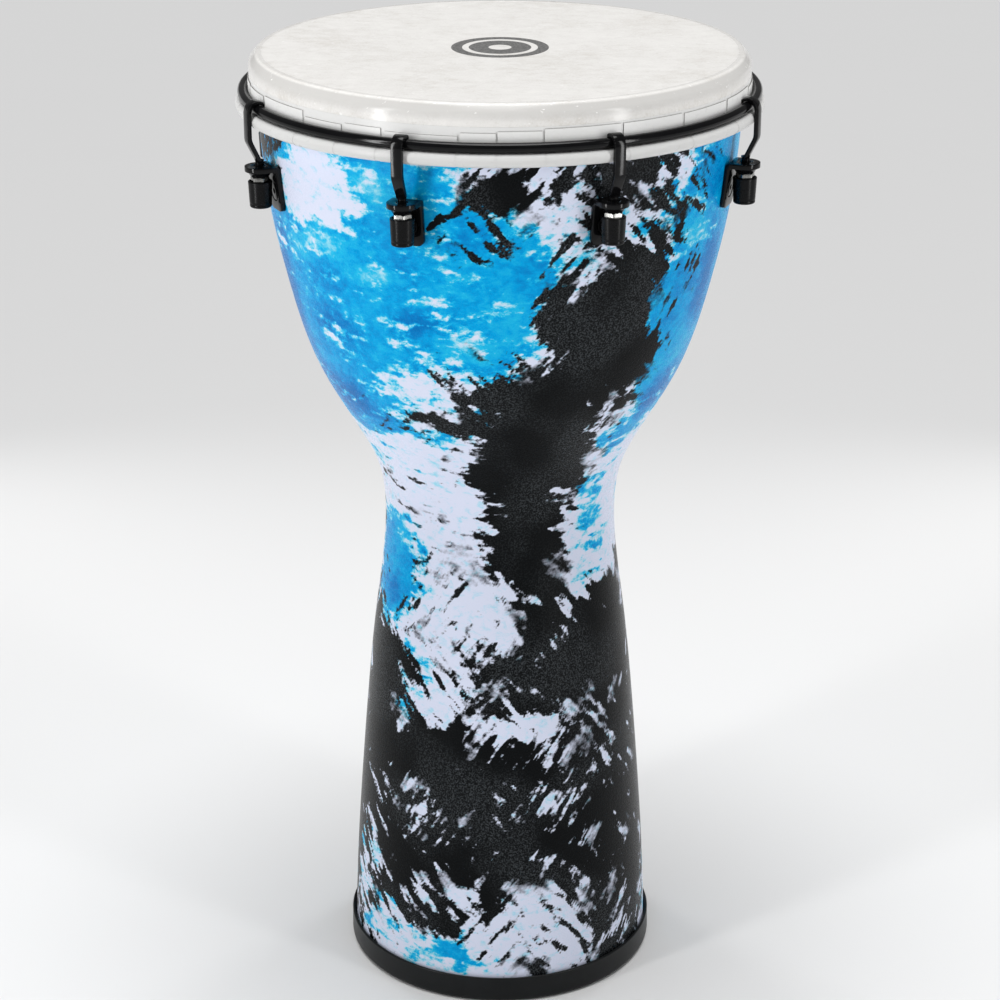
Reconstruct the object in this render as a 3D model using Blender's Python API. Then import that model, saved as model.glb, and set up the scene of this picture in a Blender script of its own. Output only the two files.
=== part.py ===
"""A 12-inch djembe: a goblet shell, a hooped drumhead and eight rim-mounted tuning lugs.

Units are metres and +Z is up. The origin is the centre of the foot, on the surface the drum stands on.
Heights are measured from that surface and radii from the drum's axis.
"""

import math

import bpy
import bmesh
from mathutils import Matrix, Vector

MM = 0.001

# Driving dimensions.
SEGMENTS = 48              # flats round every large turned piece
GAP = 0.3 * MM             # clearance between pieces that touch on the real drum
LUGS = 8
FIRST_LUG_DEG = -65.7      # angle of lug 1 from the front (-Y), positive towards +X
LUG_STEP_DEG = 360 / LUGS

# Shell: (height, outer radius) from the foot up, joined by a smooth curve.
SHELL_CURVE_MM = (
    (0, 99.1), (60, 96.8), (122, 92.6), (186, 87.2), (240, 81.4),
    (282, 75.9), (315, 74.1), (347, 79.0), (379, 95.2), (411, 113.2),
    (443, 125.4), (475, 133.8), (507, 140.8), (557, 147.0), (603, 150.2),
)
SHELL_BOTTOM = 3.8 * MM
SHELL_TOP = 609.1 * MM
WALL = 6 * MM
EDGE_ROUND = 5.5 * MM      # rounding of the bearing edge's outer corner
PLATE_FLAT_LOW = 521 * MM  # the shell is straight between these two heights, behind the brackets
PLATE_FLAT_HIGH = 557 * MM
OUTER_HEIGHTS_MM = (3.8, 60, 122, 186, 240, 282, 315, 347, 379, 411, 443, 480, 521, 557, 585, 603)
INNER_HEIGHTS_MM = (3.8, 122, 240, 282, 315, 347, 379, 411, 443, 480, 521, 557, 600)

# Foot ring: a rubber channel that the shell's lower edge stands in.
FOOT_R = 101.3 * MM
FOOT_HEIGHT = 18 * MM
FOOT_FLOOR = 3.5 * MM
FOOT_LIP_HEIGHT = 12 * MM
FOOT_LIP_THICKNESS = 1.8 * MM
FOOT_ROUND = 3.6 * MM

# Drumhead: flat skin, rolled edge, collar, and a wrap round its own hoop.
HEAD_TOP = 610 * MM
SKIN = 0.6 * MM
COLLAR_R = 152.6 * MM
COLLAR_THICKNESS = 0.8 * MM
ROLL_R = 7.7 * MM
WRAP_RING_R = 157.3 * MM
WRAP_Z = 579.6 * MM
WRAP_R = 3.75 * MM
WRAP_START_DEG = 150
WRAP_END_DEG = -135
WRAP_STEPS = 6

# Counterhoop: a round-rod ring that lies on the wrap.
RING_R = 156.6 * MM
RING_Z = 586.7 * MM
RING_ROD_R = 3.0 * MM
ROUND_SECTION_POINTS = 8

# Tuning lugs: every lug's rod stands on this radius.
ROD_RING_R = 156.2 * MM
ROD_R = 2.9 * MM
ROD_END_Z = 531 * MM
ROD_TOP_Z = 557.5 * MM
ROD_POINTS = 12

HOOK_WIDTH = 6.8 * MM
HOOK_NECK_WIDTH = 5.6 * MM
HOOK_NECK_TOP = 560 * MM
# Side outline of the flat part of a hook, as (radius, height), from the claw's tip round the ring and down.
HOOK_OUTLINE_MM = (
    (153.1, 588.3), (154.3, 589.6), (156.4, 590.1), (158.8, 589.4), (160.6, 587.6), (161.4, 584.8),
    (161.4, 569.0), (155.2, 556.1), (157.6, 554.9), (164.1, 568.2), (164.1, 585.2), (163.2, 588.6),
    (161.2, 591.0), (158.6, 592.1), (156.0, 592.1), (153.6, 591.2), (152.75, 589.8),
)

BRACKET_WIDTH = 18 * MM
FLANGE_TOP = 553 * MM
FLANGE_THICKNESS = 3 * MM
PLATE_BOTTOM = 525 * MM
PLATE_THICKNESS = 2.8 * MM
PLATE_CORNER_R = 4 * MM
BOSS_TOP_R = 8 * MM
BOSS_R = 5.5 * MM
BOSS_DROP = 3.2 * MM
ROD_HOLE_R = 3.4 * MM

BOLT_Z = 537 * MM
BOLT_R = 2.95 * MM
BOLT_HOLE_R = 3.3 * MM
BOLT_HEAD_R = 5.4 * MM
BOLT_HEAD_DEPTH = 2.45 * MM
BOLT_LENGTH = 17 * MM
LOCK_NUT_FLATS = 10 * MM
LOCK_NUT_HEIGHT = 5 * MM
LOCK_NUT_FLANGE_R = 6.5 * MM
LOCK_NUT_FLANGE = 1.2 * MM

TUNING_NUT_FLATS = 10 * MM
TUNING_NUT_TOP = FLANGE_TOP - FLANGE_THICKNESS - BOSS_DROP - GAP
TUNING_NUT_HEIGHT = 5 * MM
NUT_BORE_R = 3.25 * MM

CAP_TOP = 544 * MM
CAP_BOTTOM = 528 * MM
CAP_R = 7.25 * MM
CAP_FOOT_R = 6.6 * MM
CAP_POCKET_R = 6.1 * MM
CAP_BORE_R = 3.8 * MM
CAP_FLOOR = 1.8 * MM
CAP_LIP = 0.6 * MM
CAP_SEGMENTS = 16


def clear_scene():
    for obj in list(bpy.data.objects):
        bpy.data.objects.remove(obj, do_unlink=True)


def make_material(name, color, roughness, metallic=0.0):
    material = bpy.data.materials.new(name)
    material.use_nodes = True
    shader = material.node_tree.nodes["Principled BSDF"]
    shader.inputs["Base Color"].default_value = (*color, 1.0)
    shader.inputs["Roughness"].default_value = roughness
    shader.inputs["Metallic"].default_value = metallic
    return material


def add_object(name, mesh, material, parent=None):
    """Put a mesh in the scene with its material, smooth on its round faces."""
    obj = bpy.data.objects.new(name, mesh)
    bpy.context.scene.collection.objects.link(obj)
    if not mesh.materials:
        mesh.materials.append(material)
        mesh.shade_smooth()
        mesh.set_sharp_from_angle(angle=math.radians(35))
    obj.parent = parent
    return obj


def finish_mesh(name, bm):
    """Turn a bmesh into a mesh whose faces point out."""
    bmesh.ops.recalc_face_normals(bm, faces=bm.faces)
    mesh = bpy.data.meshes.new(name)
    bm.to_mesh(mesh)
    bm.free()
    return mesh


def turned(name, outline, segments, start_angle=0.0, closed=True):
    """Spin a (radius, height) outline about Z. An open outline starts and ends on the axis."""
    bm = bmesh.new()
    direction = Vector((math.cos(start_angle), math.sin(start_angle), 0))
    verts = [bm.verts.new(direction * r + Vector((0, 0, z))) for r, z in outline]
    edges = [bm.edges.new(pair) for pair in zip(verts, verts[1:])]
    if closed:
        edges.append(bm.edges.new((verts[-1], verts[0])))
    bmesh.ops.spin(
        bm, geom=verts + edges, cent=(0, 0, 0), axis=(0, 0, 1), angle=2 * math.pi, steps=segments, use_merge=True
    )
    bmesh.ops.remove_doubles(bm, verts=bm.verts, dist=1e-6)
    return finish_mesh(name, bm)


def extruded(name, corners, depth):
    """Extrude a flat outline, given as 3-D corners, along the depth vector."""
    bm = bmesh.new()
    face = bm.faces.new([bm.verts.new(corner) for corner in corners])
    grown = bmesh.ops.extrude_face_region(bm, geom=[face])["geom"]
    bmesh.ops.translate(bm, verts=[v for v in grown if isinstance(v, bmesh.types.BMVert)], vec=depth)
    return finish_mesh(name, bm)


def prism(name, radius, sides, low, high, radius_high=None, turn=0.0):
    """A straight or tapered prism on the Z axis. Its radius is to the corners."""
    bm = bmesh.new()
    bmesh.ops.create_cone(
        bm, cap_ends=True, segments=sides, radius1=radius, radius2=radius if radius_high is None else radius_high,
        depth=high - low, matrix=Matrix.Translation((0, 0, (low + high) / 2)) @ Matrix.Rotation(turn, 4, "Z")
    )
    return finish_mesh(name, bm)


def combined(name, base, steps):
    """Apply (operation, mesh) Booleans to a base mesh and return the result as a new mesh."""
    scene = bpy.context.scene
    holder = bpy.data.objects.new("holder", base)
    scene.collection.objects.link(holder)
    tools = []
    for operation, mesh in steps:
        tool = bpy.data.objects.new("tool", mesh)
        scene.collection.objects.link(tool)
        tools.append(tool)
        boolean = holder.modifiers.new(operation, "BOOLEAN")
        boolean.operation = operation
        boolean.solver = "EXACT"
        boolean.object = tool
    graph = bpy.context.evaluated_depsgraph_get()
    result = bpy.data.meshes.new_from_object(holder.evaluated_get(graph))
    result.name = name
    for obj in [holder] + tools:
        bpy.data.objects.remove(obj, do_unlink=True)
    return result


def arc(centre, radius, start_deg, end_deg, steps):
    """Points on an arc in the (radius, height) plane, both ends included."""
    angles = [math.radians(start_deg + (end_deg - start_deg) * i / steps) for i in range(steps + 1)]
    return [(centre[0] + radius * math.cos(a), centre[1] + radius * math.sin(a)) for a in angles]


def natural_spline(points):
    """A smooth curve y(x) through points in rising x, with no bend at its two ends."""
    xs = [p[0] for p in points]
    ys = [p[1] for p in points]
    count = len(xs)
    steps = [b - a for a, b in zip(xs, xs[1:])]
    slopes = [(b - a) / h for a, b, h in zip(ys, ys[1:], steps)]
    diagonal = [1.0] * count
    bends = [0.0] * count
    for i in range(1, count - 1):
        lower = steps[i - 1] if i > 1 else 0.0
        diagonal[i] = 2 * (steps[i - 1] + steps[i]) - lower * steps[i - 1] / diagonal[i - 1]
        bends[i] = 6 * (slopes[i] - slopes[i - 1]) - lower * bends[i - 1] / diagonal[i - 1]
    for i in range(count - 2, 0, -1):
        bends[i] = (bends[i] - steps[i] * bends[i + 1]) / diagonal[i]

    def value(x):
        i = max(k for k in range(count - 1) if k == 0 or xs[k] <= x)
        before, after, h = x - xs[i], xs[i + 1] - x, steps[i]
        cubic = (bends[i] * after**3 + bends[i + 1] * before**3) / (6 * h)
        left = (ys[i] / h - bends[i] * h / 6) * after
        right = (ys[i + 1] / h - bends[i + 1] * h / 6) * before
        return cubic + left + right

    return value


shell_curve = natural_spline([(z * MM, r * MM) for z, r in SHELL_CURVE_MM])


def inner_point(z):
    """The point of the shell's inner face opposite the outer point at height z."""
    step = 1 * MM
    slope = (shell_curve(z + step) - shell_curve(z - step)) / (2 * step)
    length = math.hypot(1, slope)
    return shell_curve(z) - WALL / length, z + WALL * slope / length


# The drum's flats are centred on the lugs, so a lug sees the shell at this share of its corner radius.
FLAT_SHARE = math.cos(math.pi / SEGMENTS)
FLAT_START = math.radians(FIRST_LUG_DEG - 90) + math.pi / SEGMENTS

# The straight stretch of the shell behind the brackets, and the bolts' direction square to it.
FLAT_LOW_R = shell_curve(PLATE_FLAT_LOW) * FLAT_SHARE
FLAT_SLOPE = (shell_curve(PLATE_FLAT_HIGH) * FLAT_SHARE - FLAT_LOW_R) / (PLATE_FLAT_HIGH - PLATE_FLAT_LOW)
FLAT_TILT = math.atan(FLAT_SLOPE)
BOLT_R_AT_SHELL = FLAT_LOW_R + FLAT_SLOPE * (BOLT_Z - PLATE_FLAT_LOW)


def in_lug(radius, height, across=0.0):
    """A point of a lug in its own frame: origin on the rod's axis, -Y outward."""
    return Vector((across, ROD_RING_R - radius, height))


# A bolt's frame: +Z points out along the bolt, and its origin is on the shell's outer face.
BOLT_FRAME = Matrix.Translation(in_lug(BOLT_R_AT_SHELL, BOLT_Z)) @ Matrix.Rotation(math.pi / 2 + FLAT_TILT, 4, "X")


def lug_matrix(index):
    """Places a lug's frame on the drum."""
    angle = math.radians(FIRST_LUG_DEG + LUG_STEP_DEG * index)
    return Matrix.Rotation(angle, 4, "Z") @ Matrix.Translation((0, -ROD_RING_R, 0))


def ring_outline(centre, radius):
    return arc(centre, radius, 0, 360, ROUND_SECTION_POINTS)[:-1]


def shell_mesh():
    outer = [(shell_curve(z * MM), z * MM) for z in OUTER_HEIGHTS_MM]
    top_r = outer[-1][0]
    corner = arc((top_r - EDGE_ROUND, SHELL_TOP - EDGE_ROUND), EDGE_ROUND, 20, 90, 2)
    inner = [inner_point(z * MM) for z in INNER_HEIGHTS_MM]
    inner[0] = (inner[0][0], SHELL_BOTTOM)
    edge_inside = (inner[-1][0], SHELL_TOP - 1 * MM)
    body = turned("shell", outer + corner + [edge_inside] + inner[::-1], SEGMENTS, FLAT_START)
    drills = []
    for index in range(LUGS):
        drill = prism("drill", BOLT_HOLE_R, ROD_POINTS, -2 * WALL, WALL)
        drill.transform(lug_matrix(index) @ BOLT_FRAME)
        drills.append(("DIFFERENCE", drill))
    return combined("shell", body, drills)


def foot_ring_mesh():
    shell_side = shell_curve(SHELL_BOTTOM) + GAP
    inside = inner_point(FOOT_LIP_HEIGHT)[0] - 2 * GAP
    outline = arc((FOOT_R - FOOT_ROUND, FOOT_ROUND), FOOT_ROUND, -90, 0, 2)
    outline += [(FOOT_R, FOOT_HEIGHT - 1 * MM), (FOOT_R - 1 * MM, FOOT_HEIGHT)]
    outline += [(shell_side, FOOT_HEIGHT), (shell_side, FOOT_FLOOR), (inside, FOOT_FLOOR), (inside, FOOT_LIP_HEIGHT)]
    outline += [(inside - FOOT_LIP_THICKNESS, FOOT_LIP_HEIGHT), (inside - FOOT_LIP_THICKNESS, 1 * MM)]
    outline += [(inside - FOOT_LIP_THICKNESS + 1 * MM, 0)]
    return turned("foot_ring", outline, SEGMENTS, FLAT_START)


def drumhead_mesh():
    roll_centre = (COLLAR_R - ROLL_R, HEAD_TOP - ROLL_R)
    hoop = (WRAP_RING_R, WRAP_Z)
    outside = [(0, HEAD_TOP)] + arc(roll_centre, ROLL_R, 90, 0, 3)
    outside += [(COLLAR_R, WRAP_Z + 3 * MM)]
    outside += arc(hoop, WRAP_R, WRAP_START_DEG - 35, WRAP_END_DEG, WRAP_STEPS - 1)
    inside = arc(hoop, WRAP_R - COLLAR_THICKNESS, WRAP_END_DEG, WRAP_START_DEG, WRAP_STEPS)
    inside += [(COLLAR_R - COLLAR_THICKNESS, WRAP_Z + 1 * MM)]
    inside += arc(roll_centre, ROLL_R - SKIN, 0, 90, 3)
    inside[-4] = (COLLAR_R - COLLAR_THICKNESS, roll_centre[1])
    return turned("drumhead", outside + inside + [(0, HEAD_TOP - SKIN)], SEGMENTS, FLAT_START, closed=False)


def hook_mesh():
    side = HOOK_WIDTH / 2
    flat = extruded("hook", [in_lug(r * MM, z * MM, -side) for r, z in HOOK_OUTLINE_MM], (HOOK_WIDTH, 0, 0))
    for vert in flat.vertices:
        if vert.co.z < HOOK_NECK_TOP:
            vert.co.x *= HOOK_NECK_WIDTH / HOOK_WIDTH
    rod = prism("rod", ROD_R, ROD_POINTS, ROD_END_Z, ROD_TOP_Z)
    return combined("tuning_hook", flat, [("UNION", rod)])


def bracket_mesh():
    def plate_r(height, depth):
        return FLAT_LOW_R + FLAT_SLOPE * (height - PLATE_FLAT_LOW) + depth / math.cos(FLAT_TILT)

    back, front = GAP, GAP + PLATE_THICKNESS
    side = BRACKET_WIDTH / 2
    under = FLANGE_TOP - FLANGE_THICKNESS
    tip = ROD_RING_R + side
    outline = [
        (plate_r(PLATE_BOTTOM, back), PLATE_BOTTOM), (plate_r(PLATE_BOTTOM, front), PLATE_BOTTOM),
        (plate_r(under, front), under), (tip, under), (tip, FLANGE_TOP), (plate_r(FLANGE_TOP, back), FLANGE_TOP),
    ]
    angle_piece = extruded("angle", [in_lug(r, z, -side) for r, z in outline], (BRACKET_WIDTH, 0, 0))

    reach = 20 * MM
    below, above = PLATE_BOTTOM - reach, FLANGE_TOP + reach
    round_end = [(side * math.cos(a), -side * math.sin(a)) for a in [math.pi * i / 8 for i in range(9)]]
    plan = [(side * 1.001, reach), *round_end, (-side * 1.001, reach)]
    plan_cutter = extruded("plan", [Vector((x, y, below)) for x, y in plan], (0, 0, above - below))

    low_centre = PLATE_BOTTOM + PLATE_CORNER_R
    corner_x = side - PLATE_CORNER_R
    left = arc((-corner_x, low_centre), PLATE_CORNER_R, 180, 270, 3)
    right = arc((corner_x, low_centre), PLATE_CORNER_R, 270, 360, 3)
    face = [(-side * 1.01, above), (-side * 1.01, low_centre), *left, *right, (side * 1.01, low_centre)]
    face += [(side * 1.01, above)]
    face_cutter = extruded("face", [Vector((x, -reach, z)) for x, z in face], (0, 2 * reach, 0))

    boss = prism("boss", BOSS_R, ROD_POINTS, under - BOSS_DROP, under + 1 * MM, radius_high=BOSS_TOP_R)
    rod_hole = prism("rod_hole", ROD_HOLE_R, ROD_POINTS, under - 2 * BOSS_DROP, above)
    bolt_hole = prism("bolt_hole", BOLT_HOLE_R, ROD_POINTS, -WALL, WALL)
    bolt_hole.transform(BOLT_FRAME)
    slope = (BOLT_HEAD_R - BOLT_R) / BOLT_HEAD_DEPTH
    seat_r = BOLT_HEAD_R + 2 * GAP
    seat = prism(
        "seat", seat_r - slope * PLATE_THICKNESS, ROD_POINTS, front - PLATE_THICKNESS, front + MM,
        radius_high=seat_r + slope * MM
    )
    seat.transform(BOLT_FRAME)
    steps = [("INTERSECT", plan_cutter), ("INTERSECT", face_cutter), ("UNION", boss)]
    steps += [("DIFFERENCE", tool) for tool in (rod_hole, bolt_hole, seat)]
    return combined("bracket", angle_piece, steps)


def bolt_mesh():
    face = GAP + PLATE_THICKNESS
    outline = [(0, face), (BOLT_HEAD_R, face), (BOLT_R, face - BOLT_HEAD_DEPTH)]
    outline += [(BOLT_R, face - BOLT_LENGTH), (0, face - BOLT_LENGTH)]
    mesh = turned("bracket_bolt", outline, ROD_POINTS, closed=False)
    mesh.transform(BOLT_FRAME)
    return mesh


def hexagon(name, flats, low, high):
    return prism(name, flats / math.sqrt(3), 6, low, high, turn=math.pi / 6)


def lock_nut_mesh():
    seat = -WALL - 2 * GAP
    flange = prism("flange", LOCK_NUT_FLANGE_R, CAP_SEGMENTS, seat - LOCK_NUT_FLANGE, seat)
    body = hexagon("body", LOCK_NUT_FLATS, seat - LOCK_NUT_FLANGE - LOCK_NUT_HEIGHT, seat - LOCK_NUT_FLANGE / 2)
    bore = prism("bore", BOLT_HOLE_R, ROD_POINTS, -4 * WALL, 0)
    mesh = combined("bracket_nut", flange, [("UNION", body), ("DIFFERENCE", bore)])
    mesh.transform(BOLT_FRAME)
    return mesh


def tuning_nut_mesh():
    low = TUNING_NUT_TOP - TUNING_NUT_HEIGHT
    body = hexagon("nut", TUNING_NUT_FLATS, low, TUNING_NUT_TOP)
    bore = prism("bore", NUT_BORE_R, ROD_POINTS, low - MM, TUNING_NUT_TOP + MM)
    return combined("tuning_nut", body, [("DIFFERENCE", bore)])


def nut_cap_mesh():
    pocket_floor = TUNING_NUT_TOP - TUNING_NUT_HEIGHT - GAP
    floor = CAP_BOTTOM + CAP_FLOOR
    outline = [(0, CAP_BOTTOM), (CAP_FOOT_R, CAP_BOTTOM), (CAP_R, CAP_TOP - CAP_LIP), (CAP_R - CAP_LIP, CAP_TOP)]
    outline += [(CAP_POCKET_R, CAP_TOP), (CAP_POCKET_R, pocket_floor), (CAP_BORE_R, pocket_floor)]
    outline += [(CAP_BORE_R, floor), (0, floor)]
    return turned("nut_cap", outline, CAP_SEGMENTS, closed=False)


def build():
    clear_scene()
    print_finish = make_material("printed_shell", (0.05, 0.36, 0.62), 0.38)
    skin = make_material("head_skin", (0.82, 0.80, 0.76), 0.45)
    black_steel = make_material("black_steel", (0.012, 0.012, 0.013), 0.32, 0.6)
    zinc = make_material("zinc", (0.72, 0.72, 0.70), 0.28, 1.0)
    black_rubber = make_material("black_rubber", (0.02, 0.02, 0.022), 0.5)
    hoop_steel = make_material("hoop_steel", (0.55, 0.55, 0.56), 0.4, 1.0)

    add_object("shell", shell_mesh(), print_finish)
    add_object("foot_ring", foot_ring_mesh(), black_rubber)
    add_object("drumhead", drumhead_mesh(), skin)
    hoop_rod_r = WRAP_R - COLLAR_THICKNESS - GAP
    hoop = turned("flesh_hoop", ring_outline((WRAP_RING_R, WRAP_Z), hoop_rod_r), SEGMENTS, FLAT_START)
    add_object("flesh_hoop", hoop, hoop_steel)
    ring = turned("counterhoop", ring_outline((RING_R, RING_Z), RING_ROD_R), SEGMENTS, FLAT_START)
    add_object("counterhoop", ring, black_steel)

    lug_pieces = (
        ("tuning_hook", hook_mesh(), black_steel),
        ("bracket", bracket_mesh(), black_steel),
        ("bracket_bolt", bolt_mesh(), black_steel),
        ("bracket_nut", lock_nut_mesh(), zinc),
        ("tuning_nut", tuning_nut_mesh(), zinc),
        ("nut_cap", nut_cap_mesh(), black_rubber),
    )
    for index in range(LUGS):
        station = bpy.data.objects.new(f"lug_{index + 1}", None)
        bpy.context.scene.collection.objects.link(station)
        station.matrix_world = lug_matrix(index)
        for name, mesh, material in lug_pieces:
            add_object(f"{name}_{index + 1}", mesh, material, parent=station)


build()
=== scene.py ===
"""Looks for the djembe: one object per visible piece, procedural materials, a plain studio and the camera.

Lengths are written in millimetres and turned into metres by MM. Angles round the drum are in degrees from the
front (-Y), positive towards +X.
"""

import math

import bpy
import bmesh
import numpy as np
from mathutils import Matrix, Vector


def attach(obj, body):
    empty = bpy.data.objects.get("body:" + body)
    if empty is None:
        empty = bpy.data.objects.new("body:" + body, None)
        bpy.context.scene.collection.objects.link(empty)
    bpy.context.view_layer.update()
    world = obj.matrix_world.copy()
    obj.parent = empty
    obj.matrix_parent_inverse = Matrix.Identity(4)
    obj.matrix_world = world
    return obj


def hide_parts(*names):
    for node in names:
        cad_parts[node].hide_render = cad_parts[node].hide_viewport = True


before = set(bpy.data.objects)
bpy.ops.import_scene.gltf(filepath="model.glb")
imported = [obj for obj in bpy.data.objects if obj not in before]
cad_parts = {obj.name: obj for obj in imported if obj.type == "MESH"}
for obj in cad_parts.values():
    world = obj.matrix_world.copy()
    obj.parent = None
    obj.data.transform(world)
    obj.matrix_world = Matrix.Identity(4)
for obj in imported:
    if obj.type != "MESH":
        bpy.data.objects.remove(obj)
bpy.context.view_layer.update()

MM = 0.001
LUGS = 8
FIRST_LUG_DEG = -65.7
ROD_RING_R = 156.2                    # circle of the hooks' threaded rods
HEAD_TOP = 610
HOOP_SECTION = (157.3, 579.6)         # radius and height of the hidden hoop's centre
WRAP_R = 3.75                         # the wrap's outside round that centre
RING_SECTION = (156.6, 586.7)         # the same of the black tension ring
RING_ROD_R = 3.0
TURNED_COLUMNS = 240                  # columns of a large turned piece
SHARP_DEG = 32                        # edges sharper than this stay sharp

SHELL_CURVE = (
    (0, 99.1), (60, 96.8), (122, 92.6), (186, 87.2), (240, 81.4), (282, 75.9), (315, 74.1), (347, 79.0),
    (379, 95.2), (411, 113.2), (443, 125.4), (475, 133.8), (507, 140.8), (557, 147.0), (603, 150.2),
)
FLAT_SHARE = math.cos(math.pi / 48)   # the CAD shell's flats, which the brackets stand on
PLATE_CHORD = (521, 557)              # the plates lie along the shell's chord between these heights
BOLT_HEIGHT = 537
WALL = 6.0
SHELL_BOTTOM = 3.8
SHELL_COLUMNS = 456
PRINT_STEP = 1.56                     # height of one row of the printed face
PRINT_TOP = 584


# ---------------------------------------------------------------- shapes

def natural_spline(points):
    """Heights to radii on a smooth curve through the points, for an array of heights."""
    x = np.array([p[0] for p in points], dtype=float)
    y = np.array([p[1] for p in points], dtype=float)
    h = np.diff(x)
    system = np.eye(len(x))
    right = np.zeros(len(x))
    for i in range(1, len(x) - 1):
        system[i, i - 1:i + 2] = h[i - 1], 2 * (h[i - 1] + h[i]), h[i]
        right[i] = 6 * ((y[i + 1] - y[i]) / h[i] - (y[i] - y[i - 1]) / h[i - 1])
    bend = np.linalg.solve(system, right)

    def value(at):
        at = np.asarray(at, dtype=float)
        i = np.clip(np.searchsorted(x, at, side="right") - 1, 0, len(x) - 2)
        before, after, step = at - x[i], x[i + 1] - at, h[i]
        cubic = (bend[i] * after**3 + bend[i + 1] * before**3) / (6 * step)
        from_start = (y[i] / step - bend[i] * step / 6) * after
        from_end = (y[i + 1] / step - bend[i + 1] * step / 6) * before
        return cubic + from_start + from_end

    return value


shell_radius = natural_spline(SHELL_CURVE)


def arc(centre, radius, start, end, steps):
    """Points on an arc in a plane, both ends included, angles in degrees."""
    angles = np.radians(np.linspace(start, end, steps + 1))
    return [(centre[0] + radius * math.cos(a), centre[1] + radius * math.sin(a)) for a in angles]


def add_piece(name, mesh, body, nodes, material, matrix=None):
    """Put a mesh in the scene as a piece of one body, in place of CAD nodes."""
    obj = bpy.data.objects.new(name, mesh)
    bpy.context.scene.collection.objects.link(obj)
    if matrix is not None:
        obj.matrix_world = matrix
    if not mesh.materials:
        mesh.materials.append(material)
        mesh.shade_smooth()
        mesh.set_sharp_from_angle(angle=math.radians(SHARP_DEG))
    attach(obj, body)
    if nodes:
        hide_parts(*nodes)
    return obj


def revolve(name, outline, columns, closed=True):
    """Spin a (radius, height) outline, anticlockwise in its plane, about Z.

    One that isn't closed starts and ends on the axis.
    """
    points = np.array(outline, dtype=float) * MM
    turns = np.arange(columns) * 2 * math.pi / columns
    inner = points if closed else points[1:-1]
    rows = len(inner)
    verts = np.empty((rows, columns, 3))
    verts[..., 0] = inner[:, 0, None] * np.sin(turns)
    verts[..., 1] = -inner[:, 0, None] * np.cos(turns)
    verts[..., 2] = inner[:, 1, None]
    verts = verts.reshape(-1, 3)
    column = np.arange(columns)
    after = (column + 1) % columns
    faces = []
    for row in range(rows if closed else rows - 1):
        low, high = row * columns, (row + 1) % rows * columns
        faces += np.stack([low + column, low + after, high + after, high + column], 1).tolist()
    if not closed:
        first, last = len(verts), len(verts) + 1
        verts = np.vstack([verts, [[0, 0, points[0, 1]], [0, 0, points[-1, 1]]]])
        top = (rows - 1) * columns
        faces += [[first, int(b), int(a)] for a, b in zip(column, after)]
        faces += [[last, int(top + a), int(top + b)] for a, b in zip(column, after)]
    mesh = bpy.data.meshes.new(name)
    mesh.from_pydata(verts.tolist(), [], faces)
    mesh.update()
    return mesh


def from_bmesh(name, bm):
    bmesh.ops.recalc_face_normals(bm, faces=bm.faces)
    mesh = bpy.data.meshes.new(name)
    bm.to_mesh(mesh)
    bm.free()
    return mesh


def extruded(name, corners, depth):
    """A flat outline drawn out along a vector."""
    bm = bmesh.new()
    face = bm.faces.new([bm.verts.new(c) for c in corners])
    grown = bmesh.ops.extrude_face_region(bm, geom=[face])["geom"]
    bmesh.ops.translate(bm, verts=[v for v in grown if isinstance(v, bmesh.types.BMVert)], vec=depth)
    return from_bmesh(name, bm)


def prism(name, radius, sides, low, high, radius_high=None, turn=0.0):
    """An upright prism or, with a second radius, a cone, between two heights in metres."""
    bm = bmesh.new()
    place = Matrix.Translation((0, 0, (low + high) / 2)) @ Matrix.Rotation(turn, 4, "Z")
    bmesh.ops.create_cone(
        bm, cap_ends=True, segments=sides, radius1=radius,
        radius2=radius if radius_high is None else radius_high, depth=high - low, matrix=place)
    return from_bmesh(name, bm)


def combined(name, base, steps):
    """Exact Booleans on a base mesh."""
    holder = bpy.data.objects.new("holder", base)
    bpy.context.scene.collection.objects.link(holder)
    tools = []
    for operation, mesh in steps:
        tool = bpy.data.objects.new("tool", mesh)
        bpy.context.scene.collection.objects.link(tool)
        tools.append(tool)
        boolean = holder.modifiers.new(operation, "BOOLEAN")
        boolean.operation, boolean.solver, boolean.object = operation, "EXACT", tool
    result = bpy.data.meshes.new_from_object(holder.evaluated_get(bpy.context.evaluated_depsgraph_get()))
    result.name = name
    for obj in [holder] + tools:
        bpy.data.objects.remove(obj, do_unlink=True)
    return result


def softened(mesh, width, angle=40, segments=2):
    """Round every edge sharper than the angle."""
    bm = bmesh.new()
    bm.from_mesh(mesh)
    bmesh.ops.remove_doubles(bm, verts=bm.verts, dist=2e-6)
    bmesh.ops.dissolve_limit(bm, angle_limit=math.radians(1), verts=bm.verts, edges=bm.edges)
    edges = [e for e in bm.edges if len(e.link_faces) == 2 and e.calc_face_angle(0) > math.radians(angle)]
    bmesh.ops.bevel(bm, geom=edges, offset=width, segments=segments, profile=0.5, affect="EDGES",
                    clamp_overlap=True)
    bmesh.ops.triangulate(bm, faces=[f for f in bm.faces if len(f.verts) > 4])
    name = mesh.name
    bpy.data.meshes.remove(mesh)
    return from_bmesh(name, bm)


# ---------------------------------------------------------------- materials

def add(tree, kind, inputs=None, **settings):
    """Add a shader node. Inputs are constants or other nodes' sockets."""
    node = tree.nodes.new("ShaderNode" + kind)
    for key, value in settings.items():
        setattr(node, key, value)
    for key, value in (inputs or {}).items():
        if isinstance(value, bpy.types.NodeSocket):
            tree.links.new(value, node.inputs[key])
        else:
            node.inputs[key].default_value = value
    return node


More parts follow.
